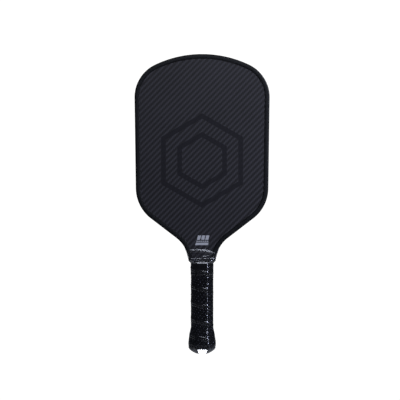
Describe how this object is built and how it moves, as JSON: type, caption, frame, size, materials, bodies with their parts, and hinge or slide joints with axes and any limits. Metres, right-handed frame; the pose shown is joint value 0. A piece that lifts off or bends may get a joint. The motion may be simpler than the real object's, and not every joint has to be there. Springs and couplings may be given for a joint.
{
  "type": "pickleball paddle",
  "caption": "Elongated racket-sports paddle with a honeycomb-cored woven carbon head, sloping shoulders, a rounded edge guard and a wrapped, flared handle under clear film.",
  "frame": {"origin": "centre of the butt cap's flat end, on which the paddle can stand upright", "axes": "+Z along the paddle from the butt end to the head, +X across the face, and -Y out of the front face"},
  "size_m": [0.189, 0.037, 0.419],
  "materials": {
    "core_plastic": "translucent white",
    "foam": null,
    "carbon": "matt woven carbon",
    "guard_rubber": "satin black",
    "mounting_tape": "foam tape",
    "handle_foam": null,
    "cap_plastic": "satin black",
    "badge_plastic": "gloss dark grey",
    "staple_steel": "bright",
    "wrap": "perforated black synthetic leather",
    "vinyl_tape": "satin black vinyl",
    "clear_film": "clear gloss film"
  },
  "bodies": {
    "root": {"honeycomb_core": "core_plastic", "perimeter_foam": "foam", "front_carbon_sheet": "carbon", "back_carbon_sheet": "carbon", "edge_guard": "guard_rubber", "edge_guard_tape": "mounting_tape", "handle_pallet_front": "handle_foam", "handle_pallet_back": "handle_foam", "butt_cap": "cap_plastic", "butt_badge": "badge_plastic", "butt_staples": "staple_steel", "grip_wrap": "wrap", "grip_finishing_tape": "vinyl_tape", "handle_film": "clear_film"}
  },
  "joints": []
}
